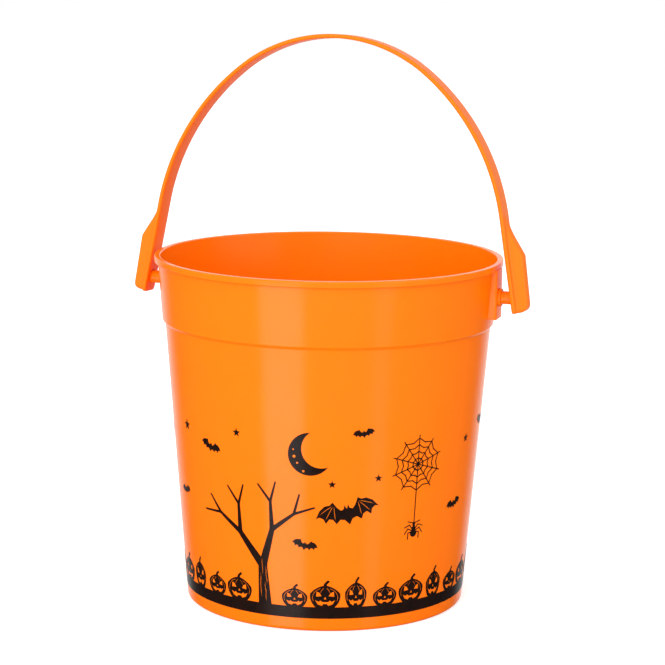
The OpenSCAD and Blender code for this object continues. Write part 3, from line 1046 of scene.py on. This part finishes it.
@dataclass
class Motif:
    """A flat shape: solid outlines that may overlap, less its holes, with X to the right and Y up."""

    solids: list[Loop] = field(default_factory=list)
    holes: list[Loop] = field(default_factory=list)
    grid: float = 2.5 * MM
    disc_steps: int = 32
    slab_t: float = 1 * MM
    join_gap: float = 1e-5

    def bar(self, a: Vector, b: Vector, width: float, hole: bool = False, over: float = 0.5) -> None:
        """Adds a straight bar between two points.

        Args:
            a: One end.
            b: The other end.
            width: Width of the bar.
            hole: Whether the bar is cut out.
            over: How far it runs past both ends, as a share of its width.
        """
        ahead = (b - a).normalized()
        side = Vector((-ahead.y, ahead.x)) * width / 2
        a, b = a - ahead * width * over, b + ahead * width * over
        loop = [tuple(a - side), tuple(b - side), tuple(b + side), tuple(a + side)]
        (self.holes if hole else self.solids).append(loop)

    def disc(self, x: float, y: float, r: float, hole: bool = False) -> None:
        """Adds a round spot.

        Args:
            x: Centre's X.
            y: Centre's Y.
            r: Radius.
            hole: Whether the spot is cut out.
        """
        (self.holes if hole else self.solids).append(arc(x, y, r, 0, 360, self.disc_steps)[:-1])

    def slit(self, places: Sequence[Point], width: float) -> None:
        """Cuts a thin line with pointed ends out of the shape.

        Args:
            places: Points along the line.
            width: Its width in the middle.
        """
        run = [Vector(p) for p in places]
        left, right = [tuple(run[0])], []
        for before, here, after in zip(run, run[1:], run[2:]):
            ahead = (after - before).normalized()
            side = Vector((-ahead.y, ahead.x)) * width / 2
            left.append(tuple(here + side))
            right.append(tuple(here - side))
        self.holes.append(left + [tuple(run[-1])] + right[::-1])

    def loop_points(self, loop: Loop) -> list[Vector]:
        """Points of an outline, anticlockwise and no further apart than the grid."""
        area = sum(a[0] * b[1] - b[0] * a[1] for a, b in zip(loop, loop[1:] + loop[:1]))
        run = [Vector(p) for p in (loop if area > 0 else loop[::-1])]
        out: list[Vector] = []
        for a, b in zip(run, run[1:] + run[:1]):
            steps = max(math.ceil((b - a).length / self.grid), 1)
            out += [a.lerp(b, i / steps) for i in range(steps)]
        return out

    def mesh(self, name: str) -> Piece:
        """Makes the shape as a thin closed slab: its back at height 0 and its outside above.

        Args:
            name: Name of the object.

        Returns:
            The slab, without a link to the scene.
        """
        points: list[Vector] = []
        loops: list[list[int]] = []
        for loop in self.solids + self.holes:
            run = self.loop_points(loop)
            loops.append(list(range(len(points), len(points) + len(run))))
            points += run
        low = [min(p[k] for p in points) for k in (0, 1)]
        high = [max(p[k] for p in points) for k in (0, 1)]
        counts = [math.floor((high[k] - low[k]) / self.grid) for k in (0, 1)]
        points += [
            Vector((low[0] + (i + 0.5) * self.grid, low[1] + (j + 0.5) * self.grid))
            for i in range(counts[0]) for j in range(counts[1])
        ]
        scaled = [p / MM for p in points]
        found, _, cells, _, _, owners = delaunay_2d_cdt(scaled, [], loops, 0, self.join_gap, True)
        first_hole = len(self.solids)
        kept = [c for c, own in zip(cells, owners) if own and max(own) < first_hole]
        used = sorted({i for c in kept for i in c})
        number = {old: new for new, old in enumerate(used)}
        flat = [found[i] * MM for i in used]
        n = len(flat)
        tops = [tuple(number[i] for i in c) for c in kept]
        rims = {(a, b) for c in tops for a, b in zip(c, c[1:] + c[:1])}
        outer = [(a, b) for a, b in rims if (b, a) not in rims]
        corners = [(p.x, p.y, z) for z in (0.0, self.slab_t) for p in flat]
        faces = [c[::-1] for c in tops] + [tuple(i + n for i in c) for c in tops]
        faces += [(a, b, b + n, a + n) for a, b in sorted(outer)]
        mesh = bpy.data.meshes.new(name)
        mesh.from_pydata(corners, [], faces)
        return bpy.data.objects.new(name, mesh)


@dataclass(frozen=True)
class CarvedPumpkin:
    """A carved pumpkin with ribs, cut off flat at the ground. Its outlines are shares of its width and height."""

    width: float
    height: float
    grid: float = 2 * MM
    outline_steps: int = 90
    lobe: float = 0.06
    lobe_turns: float = 2.5
    stem: Shares = ((-0.07, 0.4), (0.06, 0.4), (0.05, 0.54), (0.15, 0.66), (0.08, 0.72), (-0.04, 0.57))
    eye: Shares = ((-0.1, 0), (0.08, -0.02), (0.06, 0.19), (-0.04, 0.13))
    eye_place: Point = (0.21, 0.06)
    nose: Shares = ((-0.045, -0.07), (0.045, -0.07), (0, 0.04))
    grin: Shares = (
        (-0.32, -0.1), (-0.2, -0.17), (-0.15, -0.11), (-0.09, -0.18), (0.09, -0.18), (0.15, -0.11), (0.2, -0.17),
        (0.32, -0.1), (0.24, -0.27), (0.1, -0.34), (0.06, -0.26), (-0.06, -0.26), (-0.1, -0.34), (-0.24, -0.27),
    )
    ribs: tuple[tuple[float, int], ...] = ((0.17, 26), (0.40, -26))
    rib_top: int = 81
    rib_step: int = 9
    rib_h: float = 0.40
    rib_w: float = 0.24 * MM
    ground: float = -0.4

    def sized(self, shares: Sequence[Point], place: Point = (0.0, 0.0), way: int = 1) -> Loop:
        """Makes an outline of shares of the width and height.

        Args:
            shares: The outline's points.
            place: Share of the width and of the height by which they move.
            way: 1, or -1 for the mirror image.

        Returns:
            The outline.
        """
        return [(self.width * way * (place[0] + x), self.height * (place[1] + y)) for x, y in shares]

    def motif(self) -> Motif:
        """Draws the pumpkin, centred on the origin."""
        made = Motif(grid=self.grid)
        outline = []
        for i in range(self.outline_steps):
            a = 360 * i / self.outline_steps
            dip = self.lobe * abs(math.sin(math.radians(self.lobe_turns * (a - 90))))
            outline.append(tuple(polar((1 - dip) / 2, a)))
        made.solids += [self.sized(outline), self.sized(self.stem)]
        made.holes += [self.sized(self.eye, self.eye_place, way) for way in (1, -1)]
        made.holes += [self.sized(self.nose), self.sized(self.grin)]
        for way in (1, -1):
            for bulge, low in self.ribs:
                turns = [math.radians(a) for a in range(low, self.rib_top, self.rib_step)]
                rib = [(bulge * math.cos(a), self.rib_h * math.sin(a)) for a in turns]
                made.slit(self.sized(rib, way=way), self.rib_w)
        low = self.ground - 1
        made.holes.append(self.sized([(-1, low), (1, low), (1, self.ground), (-1, self.ground)]))
        return made


@dataclass(frozen=True)
class Bat:
    """A flying bat. Its outline is shares of its span."""

    span: float = 32 * MM
    half: Shares = (
        (0, 0.09), (0.03, 0.16), (0.045, 0.1), (0.09, 0.08), (0.14, 0.13), (0.2, 0.24), (0.25, 0.2), (0.33, 0.2),
        (0.42, 0.14), (0.5, 0.02), (0.44, 0.04), (0.385, 0), (0.36, -0.08), (0.3, -0.02), (0.24, -0.04),
        (0.2, -0.12), (0.13, -0.06), (0.06, -0.08), (0, -0.17),
    )
    wrist: Point = (0.19, 0.19)
    bone_tips: Shares = ((0.36, -0.03), (0.21, -0.07), (0.44, 0.07))
    bone_marks: tuple[float, ...] = (0.06, 0.25, 0.5, 0.75, 1.0)
    bone_arch: float = 0.03
    bone_w: float = 0.3 * MM

    def motif(self, boned: bool) -> Motif:
        """Draws the bat.

        Args:
            boned: Whether the bones of its wings are left open.

        Returns:
            The bat, centred on the origin.
        """
        half = [(x * self.span, y * self.span) for x, y in self.half]
        made = Motif([half + [(-x, y) for x, y in half[-2:0:-1]]])
        x, y = self.wrist
        for way in (1, -1) if boned else ():
            for tip_x, tip_y in self.bone_tips:
                made.slit([(way * self.span * (x + (tip_x - x) * t),
                            self.span * (y + (tip_y - y) * t + self.bone_arch * t * (1 - t)))
                           for t in self.bone_marks], self.bone_w)
        return made


@dataclass(frozen=True)
class OrbWeb:
    """A round web: straight spokes, and rings that sag between them."""

    diameter: float = 30 * MM
    thread_w: float = 0.5 * MM
    grid: float = 3 * MM
    spokes: int = 10
    rings: int = 4
    ringed: float = 0.9
    sag: float = 0.86

    def motif(self) -> Motif:
        """Draws the web, centred on the origin."""
        made = Motif(grid=self.grid)
        r, step = self.diameter / 2, 360 / self.spokes
        for spoke in range(self.spokes):
            a = spoke * step - 90
            made.bar(Vector((0, 0)), polar(r, a), self.thread_w)
            for k in range(1, self.rings + 1):
                ring = r * self.ringed * k / self.rings
                middle = polar(ring * self.sag, a + step / 2)
                made.bar(polar(ring, a), middle, self.thread_w)
                made.bar(middle, polar(ring, a + step), self.thread_w)
        return made


@dataclass(frozen=True)
class Spider:
    """A spider on its thread. Its parts are shares of its length, and its legs' turns are degrees."""

    thread_l: float
    thread_w: float
    length: float = 6 * MM
    belly: float = 0.32
    head: float = 0.2
    legs: int = 4
    first_leg: float = 60.0
    leg_step: float = 35.0
    thigh: float = 0.6
    thigh_lift: float = 20.0
    shin: float = 0.52
    shin_drop: float = 45.0

    def motif(self) -> Motif:
        """Draws the spider, with its belly on the origin and its thread going up."""
        made = Motif()
        belly, head = self.length * self.belly, self.length * self.head
        made.bar(Vector((0, 0)), Vector((0, self.thread_l)), self.thread_w)
        made.disc(0, 0, belly)
        made.disc(0, belly + head / 2, head)
        for way in (1, -1):
            for k in range(self.legs):
                a = self.first_leg - k * self.leg_step
                knee = Vector((0, belly)) + polar(self.length * self.thigh, a + self.thigh_lift)
                foot = knee + polar(self.length * self.shin, a - self.shin_drop)
                run = [Vector((way * p.x, p.y)) for p in (Vector((0, belly / 2)), knee, foot)]
                made.bar(run[0], run[1], self.thread_w)
                made.bar(run[1], run[2], self.thread_w)
        return made


@dataclass(frozen=True)
class CrescentMoon:
    """A crescent moon with a few craters. Its discs are X, Y and radius as shares of its radius."""

    diameter: float = 22 * MM
    disc_steps: int = 72
    bite: Spot = (0.5, 0.25, 0.9)
    craters: tuple[Spot, ...] = (
        (-0.72, -0.12, 0.07), (-0.58, -0.42, 0.05), (-0.3, -0.8, 0.055), (-0.76, 0.2, 0.04),
    )

    def motif(self) -> Motif:
        """Draws the moon, centred on the origin."""
        r = self.diameter / 2
        made = Motif(disc_steps=self.disc_steps)
        made.disc(0, 0, r)
        for x, y, size in (self.bite, *self.craters):
            made.disc(x * r, y * r, size * r, True)
        return made


@dataclass(frozen=True)
class Star:
    """A star with straight rays."""

    diameter: float = 6 * MM
    rays: int = 5
    waist: float = 0.42

    def motif(self) -> Motif:
        """Draws the star, centred on the origin, with one ray up."""
        r = self.diameter / 2
        turns = [(k, 90 + k * 180 / self.rays) for k in range(2 * self.rays)]
        return Motif([[tuple(polar(r * self.waist if k % 2 else r, a)) for k, a in turns]])


@dataclass(frozen=True)
class BareTree:
    """A bare tree that forks, with slits in its bark. Its bark is shares of the trunk's width and length."""

    height: float = 78 * MM
    trunk_w: float = 8 * MM
    trunk_l: float = 0.36
    lean: float = 92.0
    splits: int = 3
    fork: float = 27.0
    sway: float = 9.0
    shorter: float = 0.72
    thinner: float = 0.56
    taper: float = 0.6
    knuckle: float = 0.64
    slit_w: float = 0.3 * MM
    bark: tuple[Spot, ...] = ((-0.22, 0.36, 0.9), (0.1, 0.3, 0.72), (0.24, 0.62, 1.02), (-0.04, 0.8, 1.16))
    bark_marks: tuple[float, ...] = (0, 0.25, 0.5, 0.75, 1)
    bark_narrows: Point = (1.25, 0.5)
    bark_wave: float = 0.18 * MM
    bark_waves: float = 9.0

    def limb(self, tree: Motif, foot: Vector, lean: float, length: float, w: float, splits: int, sway: float) -> None:
        """Adds one limb and the two that fork from it.

        Args:
            tree: Motif that it is added to.
            foot: Its lower end.
            lean: Its direction in degrees.
            length: Its length.
            w: Its width at the foot.
            splits: How often it forks further.
            sway: Turn of its forks, which alternates up the tree.
        """
        tip = foot + polar(length, lean)
        side = polar(w / 2, lean + 90)
        top = side * self.taper
        tree.solids.append([tuple(p) for p in (foot + side, foot - side, tip - top, tip + top)])
        tree.disc(tip.x, tip.y, w / 2 * self.knuckle)
        if splits > 0:
            for way in (-1, 1):
                ahead = lean + self.fork * way + sway
                self.limb(tree, tip, ahead, length * self.shorter, w * self.thinner, splits - 1, -sway)

    def motif(self) -> Motif:
        """Draws the tree, with its root cut off flat half its height below the origin."""
        made = Motif()
        low, trunk_l = -self.height / 2, self.height * self.trunk_l
        root = Vector((0, low - self.trunk_w))
        self.limb(made, root, self.lean, trunk_l, self.trunk_w, self.splits, self.sway)
        wide, narrows = self.bark_narrows
        for x, start, end in self.bark:
            line = []
            for t in self.bark_marks:
                up = start + (end - start) * t
                p = root + polar(trunk_l * up, self.lean) + Vector((self.trunk_w * x * (wide - narrows * up), 0))
                line.append(tuple(p + Vector((self.bark_wave * math.sin(self.bark_waves * p.y / self.trunk_w), 0))))
            made.slit(line, self.slit_w)
        far = self.trunk_w * 2
        made.holes.append([(-far, low - far), (far, low - far), (far, low), (-far, low)])
        return made


@dataclass(frozen=True)
class Place:
    """Where one motif goes: turn from the picture's middle, height up the wall, kind, tilt and size."""

    turn: float
    height: float
    kind: int = 0
    tilt: float = 0.0
    size: float = 1.0


@dataclass
class WallPrint:
    """The black picture round the wall, a thin film that repeats.

    Turns and tilts are in degrees, and a height up the wall is a share of the way from the ground band to the collar.
    A bat is its turn, tilt, height and size, and a star its turn, height and size.
    """

    shop: Workshop
    pail: Pail
    tree: TreeMaker = field(default_factory=print_tree)
    film_t: float = 0.1 * MM
    glue_t: float = 0.01 * MM
    crease: float = 40.0
    middle_turn: float = 17.0
    repeats: int = 2
    ground_z: float = 7 * MM
    ground_h: float = 6 * MM
    pumpkins: int = 30
    pumpkin_shares: Shares = ((1.03, 0.84), (0.74, 0.94), (0.88, 0.7))
    tree_slot: int = 2
    bare_tree: BareTree = BareTree()
    bat: Bat = Bat()
    bats: tuple[tuple[float, float, float, float], ...] = (
        (8, 12, 0.38, 1), (-8, -12, 0.25, 0.42), (13, 8, 0.7, 0.36), (-47, -14, 0.6, 0.45), (57, 10, 0.36, 0.4),
        (-68, 6, 0.38, 0.36), (78, -8, 0.66, 0.42),
    )
    web: OrbWeb = OrbWeb()
    web_turn: float = 35.0
    web_up: float = 0.56
    spider_up: float = 0.28
    moon: CrescentMoon = CrescentMoon()
    moon_turn: float = -6.0
    moon_up: float = 0.62
    star: Star = Star()
    stars: tuple[Spot, ...] = (
        (-34, 0.68, 0.8), (19, 0.52, 0.7), (-62, 0.66, 1), (62, 0.62, 0.8), (-85, 0.6, 0.75), (2, 0.5, 0.7),
    )

    @property
    def ground_top(self) -> float:
        """Height of the ground band's upper edge."""
        return self.ground_z + self.ground_h

    def at_height(self, share: float) -> float:
        """Height at a share of the wall between the band and the collar."""
        high = self.pail.height - self.pail.collar_h - self.pail.print_drop
        return self.ground_top + share * (high - self.ground_top)

    def lay(self, name: str, node: str, motifs: Sequence[Motif], places: Sequence[Place]) -> None:
        """Prints motifs round the wall as one piece.

        Args:
            name: Name of the piece.
            node: CAD node that it stands for.
            motifs: The kinds of motif.
            places: Where they go.
        """
        kinds = bpy.data.collections.new(name + "_kinds")
        shapes = [motif.mesh(f"{name}_kind_{i:02d}") for i, motif in enumerate(motifs)]
        for shape in shapes:
            kinds.objects.link(shape)
        seeds = mesh_object(name + "_seeds", [(0.0, 0.0, 0.0)] * len(places), [])
        columns: dict[str, Callable[[Place], float]] = {
            "turn": lambda p: math.radians(self.middle_turn + p.turn),
            "height": lambda p: p.height,
            "tilt": lambda p: math.radians(p.tilt),
            "size": lambda p: p.size,
        }
        for key, read in columns.items():
            seeds.data.attributes.new(key, "FLOAT", "POINT").data.foreach_set("value", [read(p) for p in places])
        seeds.data.attributes.new("kind", "INT", "POINT").data.foreach_set("value", [p.kind for p in places])
        piece = self.tree.run(seeds, name, {
            "Motifs": kinds, "Repeats": self.repeats, "Foot radius": self.pail.body_r(0.0),
            "Slope": self.pail.slope, "Glue": self.glue_t, "Film": self.film_t, "Material": self.shop.ink,
        })
        for shape in shapes:
            bpy.data.objects.remove(shape)
        bpy.data.collections.remove(kinds)
        seat(piece, Body.PAIL, node, self.crease)

    def band(self) -> None:
        """Turns the ground band round the foot."""
        low, high = self.ground_z, self.ground_top
        ring = [(low, 0.0), (low, self.film_t), (high, self.film_t), (high, 0.0), (low, 0.0)]
        outline = [(self.pail.body_r(z) + self.glue_t + out, z) for z, out in ring]
        made = self.shop.turned("ground_band", outline, self.pail.wall_steps, self.shop.ink)
        seat(made, Body.PAIL, "ground_print", self.crease)

    def pumpkin_row(self) -> None:
        """Prints the row of pumpkins, with the tree's place left free."""
        pitch = math.tau * self.pail.body_r(self.ground_top) / self.pumpkins
        kinds = [CarvedPumpkin(pitch * w, pitch * h) for w, h in self.pumpkin_shares]
        slots = self.pumpkins // self.repeats
        places = []
        for i in range(slots):
            kind = i % len(kinds)
            up = self.ground_top - kinds[kind].ground * kinds[kind].height
            if i != slots - self.tree_slot:
                places.append(Place(i * 360 / self.pumpkins, up, kind))
        self.lay("pumpkin_row", "pumpkin_prints", [kind.motif() for kind in kinds], places)

    def bare_tree_print(self) -> None:
        """Prints the tree, rooted in the ground band."""
        place = Place(-self.tree_slot * 360 / self.pumpkins, self.ground_top + self.bare_tree.height / 2)
        self.lay("bare_tree", "tree_print", [self.bare_tree.motif()], [place])

    def sky(self) -> None:
        """Prints the bats, the web, the spider under it, the moon and the stars."""
        flight = [Place(turn, self.at_height(up), int(size < 1), tilt, size) for turn, tilt, up, size in self.bats]
        self.lay("bat_flight", "bat_prints", [self.bat.motif(True), self.bat.motif(False)], flight)
        web_z, spider_z = self.at_height(self.web_up), self.at_height(self.spider_up)
        spider = Spider(web_z - spider_z - self.web.diameter / 2, self.web.thread_w)
        moon_z = self.at_height(self.moon_up)
        scatter = [Place(turn, self.at_height(up), size=size) for turn, up, size in self.stars]
        self.lay("orb_web", "web_print", [self.web.motif()], [Place(self.web_turn, web_z)])
        self.lay("thread_spider", "spider_print", [spider.motif()], [Place(self.web_turn, spider_z)])
        self.lay("crescent_moon", "moon_print", [self.moon.motif()], [Place(self.moon_turn, moon_z)])
        self.lay("star_scatter", "star_prints", [self.star.motif()], scatter)

    def build(self) -> None:
        """Prints the whole picture."""
        self.band()
        self.pumpkin_row()
        self.bare_tree_print()
        self.sky()


@dataclass(frozen=True)
class Softbox:
    """One upright rectangular light round the object.

    It stands from_camera degrees to the camera's right as seen from the object, with its edges at low and high, and a
    radiance of 1 is white. A mirrored one shows in the gloss only; the others light the object and show no reflection.
    """

    name: str
    from_camera: float
    low: float
    high: float
    wide: float
    away: float
    radiance: float
    mirrored: bool = True


@dataclass
class Studio:
    """Plain floor, soft lights and the camera at the photograph's angle."""

    azimuth: float = math.radians(16.8)
    distance: float = 1244.64 * MM
    eye_z: float = 362.94 * MM
    pitch: float = 0.1778
    yaw: float = 0.0019
    roll: float = 0.0129
    focal_pixels: float = 2434.8
    frame_pixels: float = 665.0
    sensor: float = 36.0
    floor_r: float = 4.0
    floor_grey: float = 0.8
    floor_glow: float = 0.45
    ambient: float = 1.05
    front_reflection: float = 0.05
    front_edge: Point = (-0.94, -0.72)
    softboxes: tuple[Softbox, ...] = (
        Softbox("key_light", -20.0, 0.15, 1.75, 1.5, 1.9, 4.0, mirrored=False),
        Softbox("left_reflection", -31.0, -0.62, 0.02, 0.60, 1.15, 2.4),
        Softbox("right_reflection", 37.0, -0.60, 0.06, 0.24, 1.10, 0.55),
        Softbox("upper_reflection", 62.0, 0.24, 0.62, 0.90, 1.10, 1.8),
    )

    def direction(self, from_camera: float) -> Vector:
        """Level direction from the object at an angle from the camera's side, in degrees to its right."""
        a = self.azimuth + math.radians(from_camera)
        return Vector((math.sin(a), -math.cos(a), 0.0))

    def camera(self) -> None:
        """Places the camera and makes it the scene's own."""
        data = bpy.data.cameras.new("camera")
        data.sensor_width = self.sensor
        data.lens = self.focal_pixels / self.frame_pixels * self.sensor
        made = linked("camera", data)
        turn = Matrix.Rotation(self.azimuth - self.yaw, 4, "Z")
        nod = Matrix.Rotation(math.pi / 2 - self.pitch, 4, "X")
        lean = Matrix.Rotation(self.roll, 4, "Z")
        place = self.direction(0.0) * self.distance + Vector((0.0, 0.0, self.eye_z))
        made.matrix_world = Matrix.Translation(place) @ turn @ nod @ lean
        bpy.context.scene.camera = made

    def light(self, box: Softbox) -> None:
        """Stands one softbox where it belongs, facing the object's axis."""
        tall = box.high - box.low
        data = bpy.data.lights.new(box.name, "AREA")
        data.shape = "RECTANGLE"
        data.size = box.wide
        data.size_y = tall
        data.energy = box.radiance * math.pi * box.wide * tall
        made = linked(box.name, data)
        made.visible_glossy = box.mirrored
        made.visible_diffuse = not box.mirrored
        out = self.direction(box.from_camera)
        middle = out * box.away + Vector((0.0, 0.0, (box.low + box.high) / 2))
        made.matrix_world = Matrix.Translation(middle) @ out.to_track_quat("Z", "Y").to_matrix().to_4x4()

    def world(self) -> None:
        """A plain white background, and an even soft light that is dimmer in front of the object's gloss."""
        made = bpy.data.worlds.new("studio_white")
        made.use_nodes = True
        bpy.context.scene.world = made
        nodes = NodeBuilder(made.node_tree)
        background = made.node_tree.nodes["Background"].inputs
        background["Color"].default_value = (1.0, 1.0, 1.0, 1.0)
        way = nodes.node("ShaderNodeTexCoord").outputs["Generated"]
        facing = nodes.node("ShaderNodeVectorMath", {0: way, 1: self.direction(0.0)}, operation="DOT_PRODUCT")
        start, end = self.front_edge
        gloss = nodes.node("ShaderNodeMapRange", {
            "Value": facing.outputs["Value"], "From Min": start, "From Max": end,
            "To Min": 1.0, "To Max": self.front_reflection,
        }).outputs[0]
        shown = nodes.math("MAXIMUM", nodes.node("ShaderNodeLightPath").outputs["Is Camera Ray"], gloss)
        strength = nodes.node("ShaderNodeMix", {0: nodes.seen_directly(), 2: self.ambient, 3: shown})
        nodes.feed(background["Strength"], strength.outputs[0])

    def floor(self) -> None:
        """A wide pale floor that keeps the object's shadow."""
        r, grey = self.floor_r, self.floor_grey
        made = mesh_object("floor", [(-r, -r, 0.0), (r, -r, 0.0), (r, r, 0.0), (-r, r, 0.0)], [(0, 1, 2, 3)])
        pale = Shader("pale_floor")
        pale.set(Base_Color=(grey, grey, grey, 1.0), Roughness=1.0, Specular_IOR_Level=0.0)
        plain = pale.shader.outputs[0]
        glow = pale.node("ShaderNodeEmission", {"Strength": self.floor_glow}).outputs[0]
        both = pale.node("ShaderNodeAddShader", {0: plain, 1: glow}).outputs[0]
        mix = pale.node("ShaderNodeMixShader", {0: pale.seen_directly(), 1: plain, 2: both}).outputs[0]
        pale.feed(pale.tree.nodes["Material Output"].inputs["Surface"], mix)
        made.data.materials.append(pale.material)
        made.visible_glossy = False

    def build(self) -> None:
        """Sets up the camera, the floor, the world and the lights."""
        bpy.context.scene.view_settings.view_transform = "Standard"
        self.camera()
        self.floor()
        self.world()
        for box in self.softboxes:
            self.light(box)
        log.info("studio is set")


def main() -> None:
    """Builds the studio, the pail, the handle and the print."""
    logging.basicConfig(level=logging.INFO, format="%(name)s: %(message)s")
    shop = Workshop()
    Studio().build()
    pail = Pail(shop, frame["joints"][0]["pos_m"][2])
    pail.build()
    Handle(shop, pail).build()
    WallPrint(shop, pail).build()


if __name__ == "__main__":
    main()
